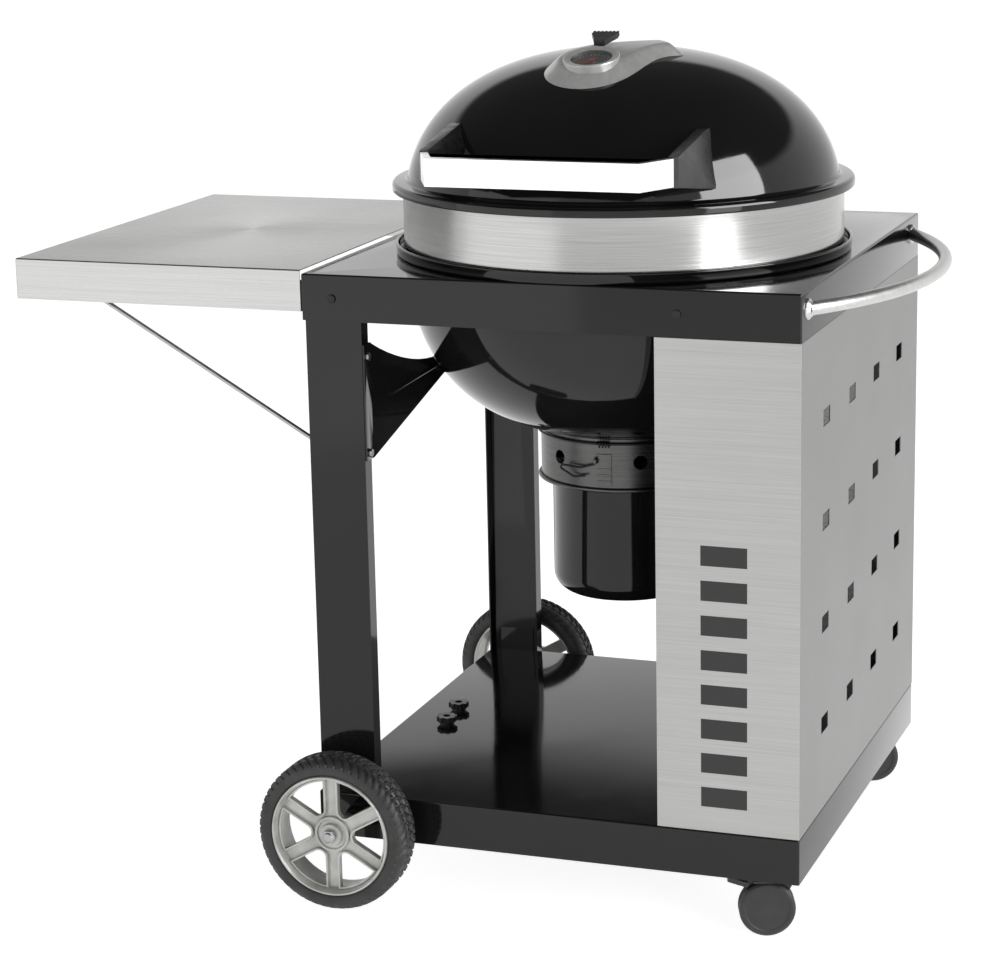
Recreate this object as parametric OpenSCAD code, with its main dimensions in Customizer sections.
// Kettle charcoal grill on a wheeled cart with a folding side shelf.
// Millimetres, +Z up, floor at z = 0, front of the cart towards -Y.
// The origin is the bottom centre of the whole object's bounding box.

/* [Cart] */
// width of the cart top, side to side
cart_w = 632; // [600:1:680]
// depth of the cart top, front to back
cart_d = 652; // [640:1:700]
// height of the folded skirts of the cart top and of the bottom shelf
skirt_h = 58; // [50:1:64]
// floor to the lower edge of the bottom shelf's skirt
base_z = 77; // [77:1:90]
// bottom shelf's upper face to the cart top's upper face
bay_h = 671; // [650:1:700]
// sheet thickness of the two folded trays
sheet = 1.5; // [1.2:0.1:2]
// width of a leg channel
leg_w = 74; // [60:1:76]
// depth of a leg channel's flanges
leg_d = 21; // [16:1:30]

/* [Cabinet side] */
// width of the front and rear cover panels
panel_w = 179; // [150:1:200]
// thickness of the cover panels
panel_t = 1.2; // [1:0.1:1.4]
// width of a vent opening in the side panel, front to back
slot_w = 34; // [20:1:40]
// height of a vent opening in the side panel
slot_h = 21; // [16:1:30]
// spacing of the vent openings front to back
slot_pitch_y = 136.5; // [120:0.5:140]
// spacing of the vent openings upright
slot_pitch_z = 130; // [100:1:140]

/* [Kettle] */
// kettle axis to the right of the cart's centre
kettle_dx = 10.5; // [0:0.5:14]
// kettle axis behind the cart's centre (negative is forward)
kettle_dy = -41; // [-42:1:-30]
// outer radius of the bowl's wall
bowl_r = 279.5; // [279:0.5:280]
// depth of the bowl's curve below its widest level
bowl_drop = 266; // [258:1:268]
// radius of the bowl's upturned lip
lip_r = 290.5; // [289:0.5:291]
// height of the bowl's upturned lip
lip_h = 13; // [10:1:16]
// outer radius of the steel band
band_r = 281; // [280.5:0.1:281]
// top of the steel band above the cart top
band_top = 90.3; // [90:0.1:90.3]
// radius of the lid's dome at its foot
dome_r = 277; // [275:0.5:277]
// height of the dome's curve
dome_rise = 192; // [186:1:196]
// outer radius of the lid's rim
rim_r = 294; // [293.5:0.5:294]

/* [Side shelf] */
// shelf length away from the cart
shelf_len = 396; // [380:1:410]
// shelf depth, front to back
shelf_d = 588; // [560:1:600]
// height of the shelf's folded edges
shelf_h = 52; // [51:1:52]

/* [Wheels] */
// radius of the large wheels
wheel_r = 100; // [98:1:104]
// width of the large wheels' tyres
tyre_w = 54; // [46:1:56]
// radius of the caster wheels
caster_r = 35; // [33:0.5:35]

/* [Handle] */
// how far the side handle's centre line stands out from the cart
handle_out = 94.5; // [90:0.5:104]
// radius of the side handle's tube
handle_tube_r = 8.5; // [7:0.5:10]
// distance between the side handle's two ends
handle_span = 576; // [540:1:580]

/* [Hidden] */
shelf_gap = 2;
base_top = base_z + skirt_h;
top_z = base_top + bay_h;
// cart centre, shifted so that the bounding box is centred on x = 0
cart_x = ((cart_w / 2 + shelf_gap + shelf_len) - (cart_w / 2 + handle_out + handle_tube_r)) / 2;
lx = cart_x - cart_w / 2;
rx = cart_x + cart_w / 2;
fy = -cart_d / 2;
by = cart_d / 2;
kx = cart_x + kettle_dx;
ky = kettle_dy;
inner = sheet + 0.3;
leg_t = 2;
leg_in = 4;
screw_r = 2.5;
screw_z = top_z - 30;
hole_r = bowl_r + 2;
shell_t = 1.6;
$fn = 64;

// bowl curve, measured from the cart top
bowl_z0 = 29.2;
bowl_p = 2.6126;
bowl_steps = 22;
bowl_bottom = bowl_z0 - bowl_drop;

// dome curve, measured from the cart top
dome_z0 = 62.5;
dome_p = 2.34;
dome_q = 2.143;
dome_steps = 22;
dome_foot = 93;

// lid hinge
hinge_y = ky + rim_r + 14;
hinge_z = top_z + 86;
hinge_pin_r = 5;
hinge_w = 50;
ear_t = 5;

// hood, gauge and damper on the dome, measured from the kettle axis
hood_a = [-1, -118];
hood_b = [65, -27];
hood_t = 14;
gauge_at = [3, -128];
gauge_tilt = 15;
gauge_r = 35;
stem_r = 4;
damper_h = 2.2;
knob_az = 92;
knob_arm = 46;

// lid handle, measured from the kettle axis and the cart top
grip_y = -354;
grip_x = 132.5;
grip_wing = 58;
wing_turn = 64.5;
grip_z = 122;
grip_h = 34;

// ash collar and bucket, measured from the cart top
collar_r = 109.5;
collar_t = 1.2;
collar_top = -228.7;
collar_bottom = -298;
vent_z = -259;
vent_r = 9;
vent_az = -122.5;
lever_z = -250;
lever_az = -40;
lever_sweep = 60;
lever_r = 4;
sweeper_shaft_r = 5;
bucket_r = 95;
bucket_top = -262;
bucket_bottom = -451;
latch_az = -92;
latch_z = -256.5;
latch_r = 114.5;
latch_wire = 1.4;
plate_az = -87;
plate_half = 5.2;

// grates, measured from the cart top
grid_z = 44;
grid_r = 264;
grid_bar = 8;
flap_x = 170;
fuel_z = -96;
rod_r = 3;

// shelf hinge and support rod, measured from the cart's left edge and the cart top
pin_x = -25;
pin_z = -41;
pin_r = 4;
shelf_rise = 4;
shelf_t = 1.2;
rod_px = 14;
rod_pz = -227;
rod_y = fy + 32;
rod_len = 398;
rod_angle = 30.2;
rod_wire = 3;

// wheels
axle_x = lx + 41;
axle_r = 6;
wheel_gap = 14;
rim_out = 79;
hub_r = 15;
spokes = 6;
caster_x = rx - 32;
caster_y = cart_d / 2 - 32;
caster_trail = 16;
caster_turn = 20;
pedal_x = 42;
pedal_drop = 7;
caster_w = 26;
caster_gap = 4;
leg_half = 3;
run_gap = 0.05;

paint = [0.16, 0.16, 0.16];
enamel = [0.05, 0.05, 0.06];
steel = [0.72, 0.72, 0.71];
wire_c = [0.45, 0.45, 0.45];
iron = [0.12, 0.12, 0.12];
rubber_c = [0.1, 0.1, 0.1];
plastic_grey = [0.62, 0.62, 0.6];
plastic_black = [0.08, 0.08, 0.08];

function bowl_pt(t, d) = [(bowl_r - d) * pow(cos(t), 2 / bowl_p),
  bowl_z0 - (bowl_drop - d) * pow(sin(t), 2 / bowl_p)];
function bowl_t(d) = asin(pow(bowl_z0 / (bowl_drop - d), bowl_p / 2));
function bowl_rz(z, d) = (bowl_r - d) * pow(1 - pow((bowl_z0 - z) / (bowl_drop - d), bowl_p), 1 / bowl_p);
function dome_pt(t, d) = [(dome_r + d) * pow(cos(t), 2 / dome_p),
  dome_z0 + (dome_rise + d) * pow(sin(t), 2 / dome_q)];
function dome_t(d) = asin(pow((dome_foot - dome_z0) / (dome_rise + d), dome_q / 2));
function dome_z(r) = dome_z0 + dome_rise * pow(1 - pow(r / dome_r, dome_p), 1 / dome_q);
function dome_slope(r) = atan((dome_z(r - 1) - dome_z(r + 1)) / 2);
function polar(az, r) = [r * cos(az), r * sin(az)];

// box between two opposite corners
module span(a, b) {
  translate(a) cube([b[0] - a[0], b[1] - a[1], b[2] - a[2]]);
}

// round bar between two points
module bar(a, b, r) {
  v = b - a;
  translate(a)
    rotate([0, acos(v[2] / norm(v)), atan2(v[1], v[0])])
      cylinder(h = norm(v), r = r, $fn = 24);
}

module at_kettle() {
  translate([kx, ky, top_z]) children();
}

// places children on the dome, with their z axis along the dome's normal
module on_dome(p) {
  az = atan2(p[1], p[0]);
  translate([p[0], p[1], dome_z(norm(p))])
    rotate([0, 0, az]) rotate([0, dome_slope(norm(p)), 0]) rotate([0, 0, -az]) children();
}

module at_gauge() {
  at_kettle() translate([gauge_at[0], gauge_at[1], dome_z(norm(gauge_at))])
    rotate([gauge_tilt, 0, 0]) children();
}

// wedge of a disc, from angle a0 to a1
module wedge(r, a0, a1, h) {
  linear_extrude(h) polygon(concat([[0, 0]], [for (i = [0:6]) polar(a0 + (a1 - a0) * i / 6, r)]));
}

// folded tray, open underneath
module tray(z0, z1) {
  difference() {
    span([lx, fy, z0], [rx, by, z1]);
    span([lx + sheet, fy + sheet, z0 - 1], [rx - sheet, by - sheet, z1 - sheet]);
  }
}

// the four screws that hold the legs and covers to the cart top's skirt
module at_apron_screws() {
  for (side = [-1, 1])
    for (x = [lx + 40, rx - 151])
      translate([x, side * cart_d / 2, screw_z]) rotate([side * 90, 0, 0]) children();
}

module apron_holes() {
  at_apron_screws() translate([0, 0, -1]) cylinder(h = 12, r = screw_r + run_gap);
}

module cart_top() {
  color(paint) difference() {
    tray(top_z - skirt_h, top_z);
    translate([kx, ky, top_z - 6]) cylinder(h = 10, r = hole_r);
    apron_holes();
  }
}

module axle_hole(y0, y1) {
  translate([axle_x, y0, wheel_r]) rotate([-90, 0, 0]) cylinder(h = y1 - y0, r = axle_r + run_gap);
}

module bottom_shelf() {
  lug_w = 50;
  lug_h = 34;
  color(paint) {
    difference() {
      tray(base_z, base_top);
      axle_hole(fy - 1, by + 1);
    }
    // upright lugs that the legs are screwed to
    for (side = [-1, 1])
      for (x = [lx + leg_in + leg_w / 2, rx - leg_in - leg_w / 2])
        translate([x - lug_w / 2, side * (by - inner - leg_t - 1) - 1, base_top])
          cube([lug_w, 2, lug_h]);
  }
}

// leg channel with its web outwards; side is -1 at the front, 1 at the back
module leg(x0, side) {
  z0 = base_top;
  z1 = top_z - sheet;
  y_out = by - inner;
  mirror([0, side < 0 ? 1 : 0, 0]) difference() {
    span([x0, y_out - leg_d, z0], [x0 + leg_w, y_out, z1]);
    span([x0 + leg_t, y_out - leg_d - 1, z0 - 1], [x0 + leg_w - leg_t, y_out - leg_t, z1 + 1]);
  }
}

module leg_front_left() {
  color(paint) difference() {
    leg(lx + leg_in, -1);
    apron_holes();
  }
}

module leg_back_left() {
  color(paint) difference() {
    leg(lx + leg_in, 1);
    apron_holes();
  }
}

module leg_front_right() {
  color(paint) leg(rx - leg_in - leg_w, -1);
}

module leg_back_right() {
  color(paint) leg(rx - leg_in - leg_w, 1);
}

// cover panel with a folded left edge and a tab behind the skirt
module cover(side) {
  x0 = rx - panel_w;
  z0 = base_top + 0.5;
  z1 = top_z - skirt_h - 0.5;
  fold = 15;
  tab_w = 60;
  y1 = by;
  mirror([0, side < 0 ? 1 : 0, 0]) difference() {
    union() {
      span([x0, y1 - panel_t, z0], [rx - leg_in - leg_w, y1, z1]);
      span([rx - leg_in - leg_w, y1 - panel_t, z0], [rx, y1, z1]);
      span([x0, y1 - fold, z0], [x0 + panel_t, y1, z1]);
      span([x0 + 4, y1 - inner - panel_t, z1 - 4], [x0 + 4 + tab_w, y1 - panel_t, z1]);
      span([x0 + 4, y1 - inner - panel_t, z1 - 4], [x0 + 4 + tab_w, y1 - inner, screw_z + 12]);
    }
    translate([rx - 151, y1 + 1, screw_z]) rotate([90, 0, 0]) cylinder(h = 12, r = screw_r + run_gap);
  }
}

module front_panel() {
  color(steel) cover(-1);
}

module rear_panel() {
  color(steel) cover(1);
}

module side_panel() {
  z0 = base_top + 0.5;
  z1 = top_z - skirt_h - 0.5;
  first_y = fy + 127;
  first_z = base_top + 110.5;
  color(steel) difference() {
    span([rx - panel_t, fy + panel_t + 0.3, z0], [rx, by - panel_t - 0.3, z1]);
    for (i = [0:3])
      for (j = [0:3])
        translate([rx - panel_t / 2, first_y + slot_pitch_y * i, first_z + slot_pitch_z * j])
          cube([6, slot_w, slot_h], center = true);
  }
}

module side_handle() {
  arc_r = (pow(handle_span / 2, 2) + pow(handle_out, 2)) / (2 * handle_out);
  half = asin(handle_span / 2 / arc_r);
  mid_y = -10;
  z = top_z - 22;
  color(steel) {
    difference() {
      translate([rx + handle_out - arc_r, mid_y, z])
        rotate([0, 0, -half - 3]) rotate_extrude(angle = 2 * half + 6, $fn = 96)
          translate([arc_r, 0]) circle(r = handle_tube_r, $fn = 32);
      span([rx - 60, fy, z - 20], [rx, by, z + 20]);
    }
    for (s = [-1, 1])
      translate([rx, mid_y + s * handle_span / 2, z]) rotate([0, 90, 0]) cylinder(h = 5, r = 13);
  }
}

// solid of the bowl's outside, grown by -d
module bowl_solid(d) {
  t0 = bowl_t(d);
  rotate_extrude($fn = 96) polygon(concat([[0, 0]], [[bowl_r - d, 0]],
    [for (i = [0:bowl_steps]) bowl_pt(t0 + (90 - t0) * i / bowl_steps, d)]));
}

// one ribbed gusset from a leg's flange back to the bowl, 10 degrees off the front-to-back line
module gusset(x0, y0, sx, sy) {
  top = -87;
  foot = -233;
  fall = 45;
  plate_t = 2.5;
  tab = 20;
  reach_r = 248;
  lean = 80;
  rib_r = 3.2;
  edge_gap = 0.5;
  v = [kx - (x0 + sx * plate_t / 2), ky - y0];
  d = [sx * cos(lean), sy * sin(lean)];
  len = v * d - sqrt(reach_r * reach_r - pow(cross(v, d), 2));
  difference() {
    union() {
      translate([min(x0, x0 + sx * plate_t), min(y0 + sy * plate_t, y0 - sy * tab), top_z + foot])
        cube([plate_t, tab + plate_t, top - foot]);
      translate([x0 + sx * plate_t / 2, y0, top_z]) rotate([0, 0, atan2(d[1], d[0])])
        rotate([90, 0, 0]) {
          translate([0, 0, -plate_t / 2]) linear_extrude(plate_t) polygon(concat([[edge_gap, top]],
            [for (i = [1:8]) [len * i / 8, top - fall * (1 - pow(1 - i / 8, 1.8))]],
            [[len + 45, top - fall], [len + 45, -148], [2, foot], [edge_gap, foot]]));
          bar([len * 0.28, -159, 0], [len + 25, -141, 0], rib_r);
        }
    }
    at_kettle() bowl_solid(-0.3);
  }
}

left_face = lx + leg_in + leg_w;
right_face = rx - leg_in - leg_w;
flange_in = by - inner - leg_d;

module bowl_brackets() {
  color(paint) {
    gusset(left_face, -flange_in, 1, 1);
    gusset(left_face, flange_in, 1, -1);
    gusset(right_face, -flange_in, -1, 1);
    gusset(right_face, flange_in, -1, -1);
  }
}

module bracket_bolts() {
  head_h = 3.5;
  color(wire_c)
    for (z = [-102, -224])
      for (s = [-1, 1]) {
        translate([left_face + 2.5, s * (flange_in + 11), top_z + z]) rotate([0, 90, 0])
          cylinder(h = head_h, r = 5.5, $fn = 6);
        translate([right_face - 2.5 - head_h, s * (flange_in + 11), top_z + z]) rotate([0, 90, 0])
          cylinder(h = head_h, r = 5.5, $fn = 6);
      }
}

module apron_screws() {
  color(wire_c) at_apron_screws() {
    translate([0, 0, -2.4]) cylinder(h = 2.4, r = 5.5);
    cylinder(h = 5, r = screw_r);
  }
}

module shelf_clips() {
  r = 14;
  h = 12;
  color(plastic_black)
    for (p = [[63, 295], [57, 357]])
      translate([lx + p[0], fy + p[1], base_top]) difference() {
        union() {
          cylinder(h = h * 0.6, r = r * 0.7);
          translate([0, 0, h * 0.4]) cylinder(h = h * 0.6, r = r);
        }
        for (i = [0:7])
          rotate([0, 0, i * 45]) translate([r, 0, h * 0.3]) cylinder(h = h, r = 2.4);
        translate([0, 0, h * 0.7]) cylinder(h = h, r = 5);
      }
}

module bowl() {
  t0 = bowl_t(0);
  t1 = bowl_t(shell_t);
  ash_holes = 3;
  color(enamel) at_kettle() difference() {
    rotate_extrude($fn = 96) {
      polygon(concat(
        [for (i = [0:bowl_steps]) bowl_pt(90 - (90 - t0) * i / bowl_steps, 0)],
        [[bowl_r, 0], [lip_r, 0], [lip_r, lip_h], [lip_r - shell_t, lip_h],
          [lip_r - shell_t, shell_t], [bowl_r - shell_t, shell_t]],
        [for (i = [0:bowl_steps]) bowl_pt(t1 + (90 - t1) * i / bowl_steps, shell_t)]));
      translate([lip_r - shell_t / 2, lip_h]) circle(r = 2, $fn = 24);
    }
    translate([0, 0, bowl_bottom - 5]) cylinder(h = 20, r = sweeper_shaft_r + run_gap);
    for (i = [0:ash_holes - 1])
      rotate([0, 0, i * 120 + lever_az]) translate([0, 0, bowl_bottom - 5]) difference() {
        wedge(88, -20, 20, 20);
        translate([0, 0, -1]) cylinder(h = 22, r = 32);
      }
  }
}

module kettle_band() {
  color(steel) at_kettle() translate([0, 0, shell_t]) difference() {
    cylinder(h = band_top - shell_t, r = band_r, $fn = 96);
    translate([0, 0, -1]) cylinder(h = band_top + 2, r = band_r - 1.2, $fn = 96);
  }
}

module grate_rests() {
  color(steel) at_kettle() {
    for (az = [30, 150, 270]) {
      // brackets for the cooking grid on the band
      rotate([0, 0, az]) intersection() {
        translate([grid_r - 12, -12, grid_z - 14]) cube([40, 24, 14]);
        translate([0, 0, grid_z - 20]) cylinder(h = 30, r = band_r - 1.3, $fn = 96);
      }
      // brackets for the charcoal grate in the bowl
      rotate([0, 0, az + 60]) intersection() {
        translate([bowl_rz(fuel_z, 0) - 22, -12, fuel_z - 16]) cube([40, 24, 16]);
        bowl_solid(shell_t + 0.15);
      }
    }
  }
}

module ash_collar() {
  slot_half_h = 6;
  color(steel) at_kettle() difference() {
    union() {
      translate([0, 0, collar_bottom]) difference() {
        cylinder(h = collar_top - collar_bottom, r = collar_r, $fn = 96);
        translate([0, 0, -1]) cylinder(h = collar_top - collar_bottom + 2, r = collar_r - collar_t, $fn = 96);
      }
      translate([0, 0, collar_bottom + 3]) rotate_extrude($fn = 96)
        translate([collar_r + 1.4, 0]) circle(r = 2.8, $fn = 24);
    }
    for (k = [0, 1, 3, 4, 5])
      rotate([0, 0, vent_az + k * 60]) translate([90, 0, vent_z]) rotate([0, 90, 0])
        cylinder(h = 40, r = vent_r);
    translate([0, 0, lever_z - slot_half_h])
      wedge(140, lever_az - 6, lever_az + lever_sweep + 6, 2 * slot_half_h);
    translate([0, 0, collar_bottom - 1]) cylinder(h = 30, r = collar_r - collar_t, $fn = 96);
  }
}

module collar_wire() {
  z = -234;
  ring_r = 113;
  turns = 4;
  color(wire_c) at_kettle() {
    translate([0, 0, z]) rotate_extrude($fn = 96) translate([ring_r, 0]) circle(r = 1.5, $fn = 16);
    for (i = [0:turns - 1])
      rotate([0, 0, -89 + i * 1.7]) translate([ring_r + 2.6, 0, z]) rotate([90, 0, 0])
        rotate_extrude($fn = 32) translate([3.4, 0]) circle(r = 1.3, $fn = 12);
  }
}

module latch_plate() {
  z0 = -289;
  z1 = -248;
  knuckle_r = 3;
  knuckle_h = 5;
  color(steel) at_kettle() {
    rotate([0, 0, latch_az]) difference() {
      translate([0, 0, latch_z - knuckle_h / 2]) {
        translate([latch_r, 0, 0]) cylinder(h = knuckle_h, r = knuckle_r, $fn = 32);
        span([collar_r + 0.5, 0, 0], [latch_r, knuckle_r, knuckle_h]);
      }
      translate([latch_r, 0, latch_z - knuckle_h])
        cylinder(h = 2 * knuckle_h, r = latch_wire + run_gap, $fn = 32);
    }
    difference() {
      translate([0, 0, z0]) intersection() {
        cylinder(h = z1 - z0, r = collar_r + 1.8, $fn = 96);
        wedge(140, plate_az - plate_half, plate_az + plate_half, z1 - z0);
      }
      translate([0, 0, z0 - 1]) cylinder(h = z1 - z0 + 2, r = collar_r + 0.1, $fn = 96);
    }
    for (z = [-268, -276, -284])
      translate([0, 0, z]) intersection() {
        difference() {
          cylinder(h = 2, r = collar_r + 2.8, $fn = 96);
          translate([0, 0, -1]) cylinder(h = 4, r = collar_r + 1.5, $fn = 96);
        }
        wedge(140, plate_az - plate_half + 0.6, plate_az + plate_half - 0.6, 2);
      }
  }
}

// arc of the latch wire round the collar, at height z
module latch_arc(r, z, turn) {
  translate([0, 0, z]) rotate([0, 0, latch_az - turn]) rotate_extrude(angle = turn, $fn = 96)
    translate([r, 0]) circle(r = latch_wire, $fn = 16);
}

module bucket_latch() {
  r = latch_r;
  sweep = 24;
  z_in = -251;
  z_top = -265;
  z_hook = -278;
  color(wire_c) at_kettle() {
    rotate([0, 0, latch_az]) translate([r, 0, z_top]) cylinder(h = z_in - z_top, r = latch_wire, $fn = 16);
    latch_arc(r, z_top, sweep);
    rotate([0, 0, latch_az - sweep]) translate([r, 0, z_hook])
      cylinder(h = z_top - z_hook, r = latch_wire, $fn = 16);
    translate([0, 0, z_hook]) rotate([0, 0, latch_az - sweep]) rotate_extrude(angle = 16, $fn = 96)
      translate([r, 0]) circle(r = latch_wire, $fn = 16);
    for (k = [[0, z_top], [-sweep, z_top], [-sweep, z_hook]])
      rotate([0, 0, latch_az + k[0]]) translate([r, 0, k[1]]) sphere(r = latch_wire + 0.3, $fn = 16);
  }
}

// half profile of a pail with a rounded foot
module pail_profile(r, h, rc) {
  translate([0, rc]) square([r, h - rc]);
  square([r - rc, rc + 0.01]);
  translate([r - rc, rc]) circle(r = rc, $fn = 48);
}

module ash_bucket() {
  t = 1.2;
  h = bucket_top - bucket_bottom;
  color(enamel) at_kettle() translate([0, 0, bucket_bottom]) rotate_extrude($fn = 96) {
    difference() {
      pail_profile(bucket_r, h, 26);
      translate([0, t]) pail_profile(bucket_r - t, h + 5, 26 - t);
    }
    translate([bucket_r - t, h - t]) square([10, t]);
  }
}

module sweeper() {
  blade_gap = 1.2;
  blade_t = 1.6;
  out_r = 93;
  d0 = shell_t + blade_gap;
  d1 = d0 + blade_t;
  n = 10;
  t_out = acos(pow(out_r / bowl_r, bowl_p / 2));
  color(iron) at_kettle() {
    for (k = [0:2])
      rotate([0, 0, lever_az + 120 * k]) intersection() {
        rotate_extrude($fn = 96) polygon(concat(
          [for (i = [0:n]) bowl_pt(90 - (90 - t_out) * i / n, d0)],
          [for (i = [0:n]) bowl_pt(t_out + (90 - t_out) * i / n, d1)]));
        translate([0, 0, bowl_bottom]) wedge(120, -23, 23, 40);
      }
    translate([0, 0, bowl_bottom + d0]) cylinder(h = 7, r = 14);
    translate([0, 0, lever_z - 6]) cylinder(h = bowl_bottom + d0 + 3 - (lever_z - 6), r = sweeper_shaft_r);
    rotate([0, 0, lever_az]) translate([0, 0, lever_z]) rotate([0, 90, 0]) cylinder(h = 150, r = lever_r);
  }
}

module sweeper_grip() {
  color(plastic_black) at_kettle() rotate([0, 0, lever_az]) translate([128, 0, lever_z])
    rotate([0, 90, 0]) difference() {
      union() {
        cylinder(h = 52, r = 9);
        translate([0, 0, 52]) sphere(r = 9);
      }
      translate([0, 0, -1]) cylinder(h = 23, r = lever_r);
    }
}

// parallel bars clipped to a disc between two x limits
module bars(r, bar_w, pitch, x0, x1, h) {
  n = floor((x1 - x0) / pitch);
  off = ((x1 - x0) - n * pitch) / 2;
  for (i = [0:n]) {
    x = x0 + off + i * pitch;
    half = sqrt(max(1, r * r - x * x));
    if (half > 14) translate([x - bar_w / 2, -half, 0]) cube([bar_w, 2 * half, h]);
  }
}

module charcoal_grate() {
  r = bowl_rz(fuel_z, shell_t) - 8;
  color(iron) at_kettle() translate([0, 0, fuel_z + rod_r]) {
    rotate_extrude($fn = 96) translate([r - rod_r, 0]) circle(r = rod_r, $fn = 20);
    for (i = [-6:6]) {
      x = i * 34;
      half = sqrt(pow(r - rod_r, 2) - x * x);
      translate([x, -half, 0]) rotate([-90, 0, 0]) cylinder(h = 2 * half, r = rod_r, $fn = 20);
    }
    for (y = [-90, 90]) {
      half = sqrt(pow(r - rod_r, 2) - y * y);
      translate([-half, y, 0]) rotate([0, 90, 0]) cylinder(h = 2 * half, r = rod_r, $fn = 20);
    }
  }
}

module ring2d(r, w) {
  difference() {
    circle(r = r, $fn = 96);
    circle(r = r - w, $fn = 96);
  }
}

module cooking_grid() {
  h = 10;
  gap = 1;
  edge = flap_x - gap;
  color(iron) at_kettle() translate([0, 0, grid_z]) {
    intersection() {
      linear_extrude(h) ring2d(grid_r, 9);
      span([-edge, -grid_r - 1, -1], [edge, grid_r + 1, h + 1]);
    }
    for (s = [-1, 1]) {
      half = sqrt(pow(grid_r - 3, 2) - edge * edge);
      translate([s < 0 ? -edge : edge - 8, -half, 0]) cube([8, 2 * half, h]);
    }
    bars(grid_r - 4, grid_bar, 18, -edge + 8, edge - 8, h);
    for (y = [-70, 70])
      translate([-edge + 2, y - 5, 0]) cube([2 * edge - 4, 10, h]);
  }
}

// hinged side piece of the cooking grid; side is -1 left, 1 right
module flap(side) {
  h = 10;
  edge = flap_x;
  half = sqrt(pow(grid_r - 3, 2) - edge * edge);
  mirror([side < 0 ? 1 : 0, 0, 0]) translate([0, 0, grid_z]) {
    intersection() {
      linear_extrude(h) ring2d(grid_r, 9);
      span([edge, -grid_r, -1], [grid_r + 1, grid_r, h + 1]);
    }
    translate([edge, -half, 0]) cube([8, 2 * half, h]);
    bars(grid_r - 4, grid_bar, 18, edge + 16, grid_r - 16, h);
  }
}

module grid_flap_left() {
  color(iron) at_kettle() flap(-1);
}

module grid_flap_right() {
  color(iron) at_kettle() flap(1);
}

// solid under the dome's outside, grown by d
module dome_solid(d) {
  rotate_extrude($fn = 96) polygon(concat([[0, dome_z0]],
    [for (i = [0:dome_steps]) dome_pt(90 * i / dome_steps, d)]));
}

module lid() {
  t0 = dome_t(0);
  t1 = dome_t(-1.5);
  foot_r = dome_pt(t0, 0)[0];
  color(enamel) difference() {
    at_kettle() {
      rotate_extrude($fn = 96) polygon(concat(
        [for (i = [0:dome_steps]) dome_pt(90 - (90 - t0) * i / dome_steps, 0)],
        [[rim_r - 2.5, 91.5], [rim_r, 89], [rim_r, 82.6], [rim_r - 1.6, 82.6], [rim_r - 1.6, 88.5],
          [rim_r - 3.2, 90.6], [foot_r - 1.5, 91.4]],
        [for (i = [0:dome_steps]) dome_pt(t1 + (90 - t1) * i / dome_steps, -1.5)]));
      rotate_extrude($fn = 96) translate([rim_r - 0.8, 83.2]) circle(r = 2, $fn = 24);
    }
    at_gauge() {
      translate([0, 0, -20]) cylinder(h = 40, r = stem_r + 0.3);
      for (k = [0:3])
        rotate([0, 0, 35 + 90 * k]) translate([24, 0, -20]) cylinder(h = 40, r = 8);
    }
  }
}

module lid_grip() {
  fold = 9;
  edge_t = 2;
  color(steel) at_kettle() {
    translate([0, 0, grip_z]) linear_extrude(grip_h) grip_plan(2.5);
    translate([0, 0, grip_z]) linear_extrude(edge_t) grip_plan(fold);
    translate([0, 0, grip_z + grip_h - edge_t]) linear_extrude(edge_t) grip_plan(fold);
  }
}

wing_x = grip_x + grip_wing * cos(wing_turn);
wing_y = grip_y + grip_wing * sin(wing_turn);

// plan of the grip: a straight front with two wings turned back
module grip_plan(w) {
  k = w * tan(wing_turn / 2);
  in_x = w * sin(wing_turn);
  in_y = w * cos(wing_turn);
  polygon([[-wing_x, wing_y], [-grip_x, grip_y], [grip_x, grip_y], [wing_x, wing_y],
    [wing_x - in_x, wing_y + in_y], [grip_x - k, grip_y + w], [-grip_x + k, grip_y + w],
    [-wing_x + in_x, wing_y + in_y]]);
}

module lid_grip_mounts() {
  color(plastic_black) at_kettle()
    for (s = [0, 1])
      mirror([s, 0, 0]) difference() {
        union() {
          hull() {
            translate([wing_x, wing_y, grip_z - 1]) rotate([0, 0, wing_turn]) translate([0.1, -0.5, 0])
              cube([7, 9.5, grip_h + 2]);
            translate([150, -208, grip_z - 14]) cube([30, 10, 4]);
            translate([128, -190, grip_z + 24]) cube([10, 10, 4]);
            translate([150, -184, grip_z + 50]) cube([14, 12, 4]);
          }
          translate([wing_x, wing_y, grip_z + 3]) rotate([0, 0, wing_turn]) translate([-12, 3.1, 0])
            cube([14, 5, grip_h - 6]);
        }
        dome_solid(0.2);
        translate([0, 0, grip_z - 0.1]) linear_extrude(grip_h + 0.2) grip_plan(2.6);
        translate([0, 0, grip_z - 0.1]) linear_extrude(2.2) grip_plan(9.1);
        translate([0, 0, grip_z + grip_h - 2.1]) linear_extrude(2.2) grip_plan(9.1);
      }
}

module lid_hinge_arm() {
  bend = 14;
  color(steel) difference() {
    translate([kx - hinge_w / 2, 0, 0]) rotate([90, 0, 90]) linear_extrude(hinge_w) {
      translate([hinge_y, hinge_z]) circle(r = 9);
      translate([hinge_y - 8, hinge_z]) square([16, 26]);
      translate([hinge_y - 48, hinge_z + bend]) square([56, 12]);
    }
    at_kettle() dome_solid(0.1);
    translate([kx - hinge_w, hinge_y, hinge_z]) rotate([0, 90, 0])
      cylinder(h = 2 * hinge_w, r = hinge_pin_r + run_gap);
  }
}

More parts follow.
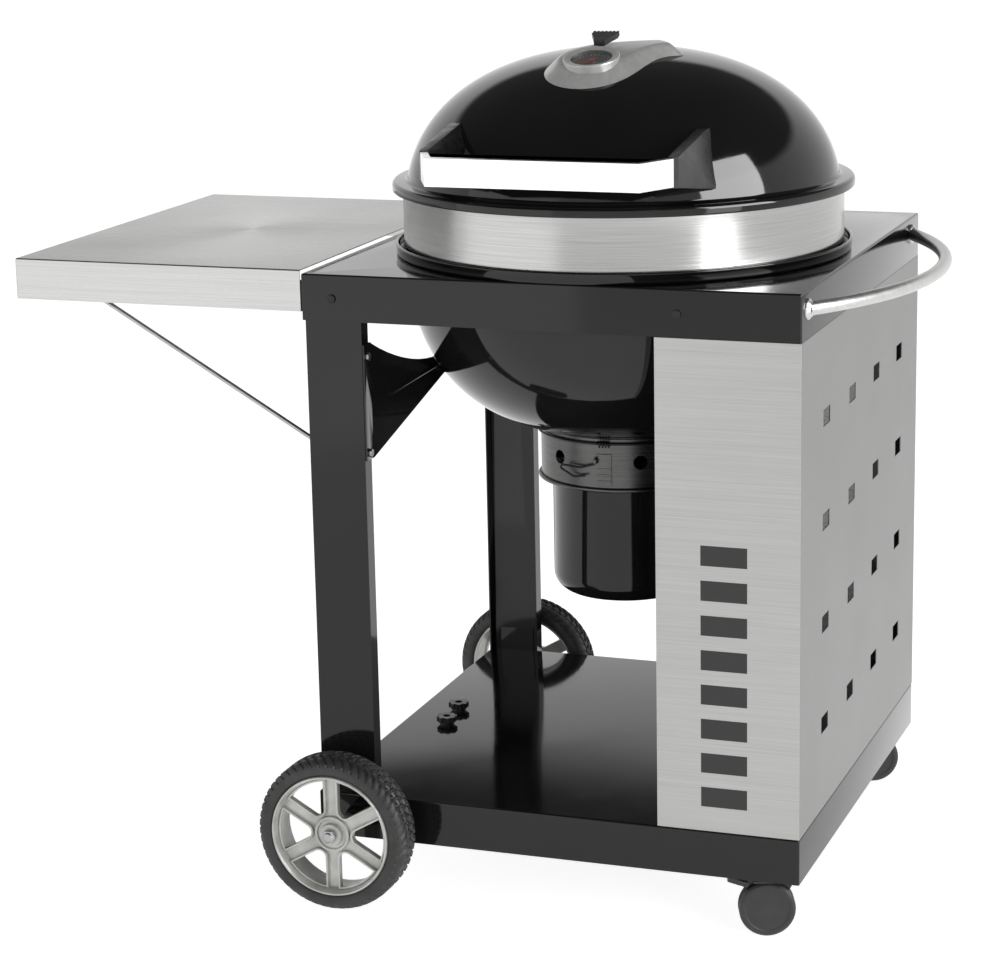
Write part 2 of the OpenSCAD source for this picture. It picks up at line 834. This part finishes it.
module lid_hinge_base() {
  gap = 0.5;
  x_in = hinge_w / 2 + gap;
  foot_y = hinge_y - 11;
  color(steel) difference() {
    union() {
      for (s = [-1, 1])
        translate([kx + (s < 0 ? -x_in - ear_t : x_in), 0, 0]) rotate([90, 0, 90]) linear_extrude(ear_t) {
          translate([hinge_y, hinge_z]) circle(r = 9);
          translate([hinge_y - 9, top_z]) square([18, hinge_z - top_z]);
        }
      span([kx - x_in - ear_t, foot_y, top_z], [kx + x_in + ear_t, foot_y + 40, top_z + 3]);
    }
    translate([kx - hinge_w, hinge_y, hinge_z]) rotate([0, 90, 0])
      cylinder(h = 2 * hinge_w, r = hinge_pin_r + run_gap);
  }
}

module lid_hinge_pin() {
  len = hinge_w + 2 * ear_t + 3;
  color(steel) translate([kx - len / 2, hinge_y, hinge_z]) rotate([0, 90, 0]) {
    cylinder(h = len, r = hinge_pin_r);
    translate([0, 0, -3]) cylinder(h = 3, r = 8);
    translate([0, 0, len]) cylinder(h = 3, r = 8);
  }
}

// tapered teardrop standing on the dome; w narrows it
module teardrop(w) {
  low = -7;
  slope = 20.5 / hood_t;
  hull() {
    on_dome(hood_a) translate([0, 0, low])
      cylinder(h = hood_t - low + 4, r1 = 60.5 - w - slope * low, r2 = 60.5 - w - slope * (hood_t + 4),
        $fn = 48);
    on_dome(hood_b) translate([0, 0, low])
      cylinder(h = hood_t - low + 4, r1 = 20 - w - 0.6 * low, r2 = 20 - w - 0.6 * (hood_t + 4), $fn = 32);
  }
}

// curved slot for the damper's post, from angle a0 to a1, half its width w
module arc_slot(a0, a1, w) {
  n = 8;
  polygon(concat([for (i = [0:n]) polar(a0 + (a1 - a0) * i / n, knob_arm + w)],
    [for (i = [1:n - 1]) polar(a1, knob_arm) + polar(a1 + 180 * i / n, w)],
    [for (i = [0:n]) polar(a1 - (a1 - a0) * i / n, knob_arm - w)],
    [for (i = [1:n - 1]) polar(a0, knob_arm) + polar(a0 + 180 + 180 * i / n, w)]));
}

module vent_hood() {
  wall = 1.6;
  color(steel) difference() {
    at_kettle() difference() {
      intersection() {
        teardrop(0);
        dome_solid(hood_t);
      }
      intersection() {
        teardrop(2.2);
        dome_solid(hood_t - wall);
      }
      dome_solid(0.2);
    }
    at_gauge() {
      cylinder(h = 40, r = gauge_r + 0.2);
      translate([0, 0, 5]) linear_extrude(30) arc_slot(knob_az - 38, knob_az + 10, 4.2);
    }
  }
}

module vent_damper() {
  t = 1.2;
  tab_h = 6.4;
  tab_z = 15.8;
  ribs = 6;
  color(plastic_black) at_gauge() {
    difference() {
      union() {
        translate([0, 0, damper_h]) cylinder(h = t, r = 38);
        rotate([0, 0, knob_az]) translate([0, -5, damper_h]) cube([knob_arm + 4, 10, t]);
      }
      translate([0, 0, damper_h - 1]) cylinder(h = 4, r = stem_r + run_gap);
      for (k = [0:3])
        rotate([0, 0, 35 + 90 * k]) translate([24, 0, damper_h - 1]) cylinder(h = 4, r = 8);
    }
    rotate([0, 0, knob_az]) {
      translate([knob_arm, 0, damper_h]) cylinder(h = tab_z - damper_h + 1, r = 3.4, $fn = 24);
      translate([0, 0, tab_z]) linear_extrude(tab_h)
        polygon([[38, -7], [46, -9], [66, -17], [72, -15], [72, 15], [66, 17], [46, 9], [38, 7]]);
      for (i = [0:ribs])
        translate([71, -15 + 5 * i - 1.2, tab_z]) cube([3.5, 2.4, tab_h]);
    }
  }
}

module gauge_case() {
  color(steel) at_gauge() {
    difference() {
      union() {
        translate([0, 0, 5]) cylinder(h = 12, r = gauge_r);
        translate([0, 0, -60]) cylinder(h = 66, r = stem_r);
      }
      translate([0, 0, 7]) cylinder(h = 20, r = gauge_r - 4);
    }
    translate([0, 0, 6]) cylinder(h = 3.2, r = 1.2);
  }
}

module gauge_dial() {
  color([0.9, 0.9, 0.88]) at_gauge() translate([0, 0, 7]) difference() {
    cylinder(h = 1, r = gauge_r - 4.1);
    translate([0, 0, -1]) cylinder(h = 3, r = 2);
  }
}

module gauge_needle() {
  color([0.75, 0.1, 0.08]) at_gauge() translate([0, 0, 9.5]) {
    rotate([0, 0, 225]) translate([-8, -1, 0]) cube([34, 2, 0.8]);
    cylinder(h = 1.6, r = 3.5);
  }
}

module gauge_lens() {
  color([0.8, 0.85, 0.9, 0.35]) at_gauge() translate([0, 0, 13]) cylinder(h = 2, r = gauge_r - 4.1);
}

shelf_y0 = fy + 2;
shelf_y1 = fy + 2 + shelf_d;
shelf_x0 = lx - shelf_gap - shelf_len;
shelf_x1 = lx - shelf_gap;
shelf_top = top_z + shelf_rise;

module side_shelf() {
  lip = 12;
  color(steel) difference() {
    union() {
      difference() {
        span([shelf_x0, shelf_y0, shelf_top - shelf_h], [shelf_x1, shelf_y1, shelf_top]);
        span([shelf_x0 + shelf_t, shelf_y0 + shelf_t, shelf_top - shelf_h - 1],
          [shelf_x1 + 1, shelf_y1 - shelf_t, shelf_top - shelf_t]);
      }
      span([shelf_x0, shelf_y0, shelf_top - shelf_h], [shelf_x0 + lip, shelf_y1, shelf_top - shelf_h + shelf_t]);
    }
    translate([lx + pin_x, shelf_y0 - 1, top_z + pin_z]) rotate([-90, 0, 0])
      cylinder(h = shelf_d + 2, r = pin_r + run_gap);
  }
}

module shelf_catch() {
  guard_z = -58;
  x = -(rod_len * cos(rod_angle) - rod_px);
  z = rod_pz + rod_len * sin(rod_angle);
  color(paint) translate([lx + x, rod_y + 12, top_z]) difference() {
    union() {
      translate([-14, 0, z - 3]) cube([28, 8, shelf_rise - shelf_t - z + 3]);
      translate([-26, -6, shelf_rise - shelf_t - 3]) cube([76, 70, 3]);
      translate([6, 0, z - 14]) cube([8, 8, 16]);
      translate([38, 20, guard_z]) cube([12, 42, shelf_rise - shelf_t - guard_z]);
    }
    hull() {
      translate([0, -1, z]) rotate([-90, 0, 0]) cylinder(h = 10, r = rod_wire + 0.4);
      translate([-8, -1, z - 16]) rotate([-90, 0, 0]) cylinder(h = 10, r = rod_wire + 0.4);
    }
  }
}

module shelf_hinge() {
  ear_y = [shelf_y0 + shelf_t + 1, shelf_y1 - shelf_t - 1 - ear_t];
  color(paint) {
    for (y = ear_y) {
      translate([lx + pin_x, y, top_z + pin_z]) rotate([-90, 0, 0]) cylinder(h = ear_t, r = 7);
      translate([lx + pin_x, y, top_z + pin_z - 7]) cube([-pin_x, ear_t, 14]);
      translate([lx - 3, y - 0.5, top_z - 47]) cube([3, 26 * (y < 0 ? 1 : 0) + ear_t + 1, 38]);
    }
    translate([lx + pin_x, shelf_y0 + 0.3, top_z + pin_z]) rotate([-90, 0, 0])
      cylinder(h = shelf_d - 0.6, r = pin_r);
  }
}

module shelf_rod() {
  tip = [lx + rod_px - rod_len * cos(rod_angle), rod_y, top_z + rod_pz + rod_len * sin(rod_angle)];
  root = [lx + rod_px, rod_y, top_z + rod_pz];
  color(wire_c) {
    bar(root, tip, rod_wire);
    bar(root, root + [0, -12, 0], rod_wire);
    bar(tip, tip + [0, 26, 0], rod_wire);
    translate(root) sphere(r = rod_wire + 0.3, $fn = 24);
    translate(tip) sphere(r = rod_wire + 0.3, $fn = 24);
  }
}

module rod_pivot() {
  z = top_z + rod_pz;
  y0 = fy + inner + leg_t;
  y1 = rod_y - 4;
  color(paint) difference() {
    union() {
      translate([lx + rod_px, y0, z]) rotate([-90, 0, 0]) cylinder(h = y1 - y0, r = 8);
      translate([lx + leg_in + leg_t, y0, z - 14]) cube([24, 3, 28]);
    }
    translate([lx + rod_px, y0 + 12, z]) rotate([-90, 0, 0]) cylinder(h = 40, r = rod_wire + run_gap);
  }
}

wheel_y = by + wheel_gap + tyre_w / 2;

module wheel_axle() {
  half = wheel_y + tyre_w / 2 - 2;
  color(wire_c) translate([axle_x, 0, wheel_r]) {
    rotate([90, 0, 0]) cylinder(h = 2 * half, r = axle_r, center = true);
    for (s = [-1, 1]) {
      translate([0, s * half, 0]) rotate([s * -90, 0, 0]) {
        cylinder(h = 5, r = 9.5, $fn = 6);
        translate([0, 0, 4]) cylinder(h = 3, r1 = 8, r2 = 5);
      }
      translate([0, s * (by + wheel_gap / 2 + 0.5), 0]) rotate([90, 0, 0])
        cylinder(h = wheel_gap - 2, r = 10, center = true);
    }
  }
}

module at_wheel(side) {
  translate([axle_x, side * wheel_y, wheel_r]) rotate([side * -90, 0, 0]) children();
}

module tyre() {
  w = tyre_w / 2;
  rotate_extrude($fn = 96) polygon([[rim_out, -w + 4], [rim_out + 5, -w], [wheel_r - 10, -w],
    [wheel_r - 3, -w + 5], [wheel_r, -w + 13], [wheel_r, w - 13], [wheel_r - 3, w - 5],
    [wheel_r - 10, w], [rim_out + 5, w], [rim_out, w - 4]]);
}

module rim() {
  w = tyre_w / 2;
  barrel = 3;
  spoke_z = w - 18;
  difference() {
    union() {
      difference() {
        translate([0, 0, -w + 4]) cylinder(h = 2 * w - 8, r = rim_out, $fn = 96);
        translate([0, 0, -w]) cylinder(h = 2 * w + 2, r = rim_out - barrel, $fn = 96);
      }
      difference() {
        translate([0, 0, w - 4]) cylinder(h = 4, r = rim_out - 0.5, $fn = 96);
        translate([0, 0, w - 5]) cylinder(h = 8, r = rim_out - barrel, $fn = 96);
      }
      translate([0, 0, -w + 4]) cylinder(h = 2 * w - 9, r = hub_r);
      translate([0, 0, spoke_z]) cylinder(h = 9, r = 24);
      for (k = [0:spokes - 1])
        rotate([0, 0, 90 + k * 360 / spokes]) {
          translate([20, -9, spoke_z]) cube([rim_out - 21, 18, 5]);
          translate([18, -9, spoke_z]) cube([rim_out - 19, 3, 11]);
          translate([18, 6, spoke_z]) cube([rim_out - 19, 3, 11]);
        }
    }
    translate([0, 0, -w]) cylinder(h = 2 * w + 2, r = axle_r + run_gap);
  }
}

module tyre_front() {
  color(rubber_c) at_wheel(-1) tyre();
}

module tyre_back() {
  color(rubber_c) at_wheel(1) tyre();
}

module rim_front() {
  color(plastic_grey) at_wheel(-1) rim();
}

module rim_back() {
  color(plastic_grey) at_wheel(1) rim();
}

socket_z = base_z + 5;

module at_caster(side) {
  translate([caster_x, side * caster_y, 0]) children();
}

module caster_sockets() {
  color(paint) for (s = [-1, 1]) at_caster(s) difference() {
    union() {
      translate([-25, -25, socket_z]) cube([50, 50, 3]);
      translate([-25, -25, socket_z]) cube([3, 50, base_top - sheet - socket_z]);
      translate([22, -25, socket_z]) cube([3, 50, base_top - sheet - socket_z]);
      translate([0, 0, socket_z]) cylinder(h = 34, r = 12);
    }
    translate([0, 0, socket_z - 1]) cylinder(h = 30, r = 6 + run_gap);
  }
}

// swivelling head with one leg between the two discs; the wheel trails towards -X
module caster_fork() {
  z_top = base_z + 4.5;
  z_cap = base_z - 4;
  cover_w = caster_w + 4;
  difference() {
    union() {
      translate([0, 0, z_cap]) cylinder(h = z_top - z_cap, r = 21);
      translate([0, 0, z_cap]) cylinder(h = socket_z + 26 - z_cap, r = 6);
      translate([0, leg_half, 0]) rotate([90, 0, 0]) linear_extrude(2 * leg_half)
        polygon([[-caster_trail - 9, caster_r - 9], [-caster_trail + 9, caster_r - 9], [16, z_cap - 8],
          [16, z_cap], [-pedal_x - 4, z_cap], [-pedal_x - 5, z_cap - 10], [-pedal_x + 2, z_cap - 14]]);
      translate([-34, -cover_w / 2, z_cap - 2.5]) cube([50, cover_w, 2.5]);
    }
    translate([-caster_trail, -40, caster_r]) rotate([-90, 0, 0]) cylinder(h = 80, r = 4 + run_gap);
    translate([-pedal_x, -40, z_cap - pedal_drop]) rotate([-90, 0, 0]) cylinder(h = 80, r = 1.5 + run_gap);
  }
}

// two solid discs on one axle
module caster_wheel() {
  half = caster_w / 2;
  translate([-caster_trail, 0, caster_r]) rotate([90, 0, 0]) {
    for (s = [0, 1])
      mirror([0, 0, s]) rotate_extrude() polygon([[0, caster_gap], [caster_r - 2, caster_gap],
        [caster_r, caster_gap + 2], [caster_r, half - 3], [caster_r - 3, half], [caster_r - 7, half],
        [caster_r - 8.5, half - 1], [0, half - 1]]);
    cylinder(h = 2 * caster_gap + 2, r = 4, center = true);
  }
}

module caster_brake() {
  w = 13;
  cheek = 3;
  translate([-pedal_x, 0, base_z - 4 - pedal_drop]) rotate([90, 0, 0]) {
    cylinder(h = w, r = 1.5, center = true);
    for (s = [0, 1])
      mirror([0, 0, s]) translate([0, 0, w / 2 - cheek]) {
        cylinder(h = cheek, r = 3.5);
        linear_extrude(cheek) polygon([[0, 3], [-12, 6.6], [-12, 0.4], [0, -3]]);
      }
    linear_extrude(w, center = true)
      polygon([[-8.5, 5.5], [-18, 9.5], [-22, 8.5], [-23, 4.5], [-19, 3], [-8.5, -0.5]]);
  }
}

module caster_fork_front() {
  color(plastic_black) at_caster(-1) rotate([0, 0, caster_turn]) caster_fork();
}

module caster_fork_back() {
  color(plastic_black) at_caster(1) rotate([0, 0, caster_turn]) caster_fork();
}

module caster_wheel_front() {
  color(rubber_c) at_caster(-1) rotate([0, 0, caster_turn]) caster_wheel();
}

module caster_wheel_back() {
  color(rubber_c) at_caster(1) rotate([0, 0, caster_turn]) caster_wheel();
}

module caster_brake_front() {
  color(plastic_black) at_caster(-1) rotate([0, 0, caster_turn]) caster_brake();
}

module caster_brake_back() {
  color(plastic_black) at_caster(1) rotate([0, 0, caster_turn]) caster_brake();
}

cart_top();
bottom_shelf();
leg_front_left();
leg_back_left();
leg_front_right();
leg_back_right();
front_panel();
side_panel();
rear_panel();
side_handle();
bowl_brackets();
bracket_bolts();
apron_screws();
shelf_clips();
bowl();
kettle_band();
grate_rests();
ash_collar();
collar_wire();
latch_plate();
bucket_latch();
ash_bucket();
sweeper();
sweeper_grip();
charcoal_grate();
cooking_grid();
grid_flap_left();
grid_flap_right();
lid();
lid_grip();
lid_grip_mounts();
lid_hinge_arm();
lid_hinge_base();
lid_hinge_pin();
vent_hood();
vent_damper();
gauge_case();
gauge_dial();
gauge_needle();
gauge_lens();
side_shelf();
shelf_catch();
shelf_hinge();
shelf_rod();
rod_pivot();
wheel_axle();
tyre_front();
rim_front();
tyre_back();
rim_back();
caster_sockets();
caster_fork_front();
caster_fork_back();
caster_wheel_front();
caster_wheel_back();
caster_brake_front();
caster_brake_back();
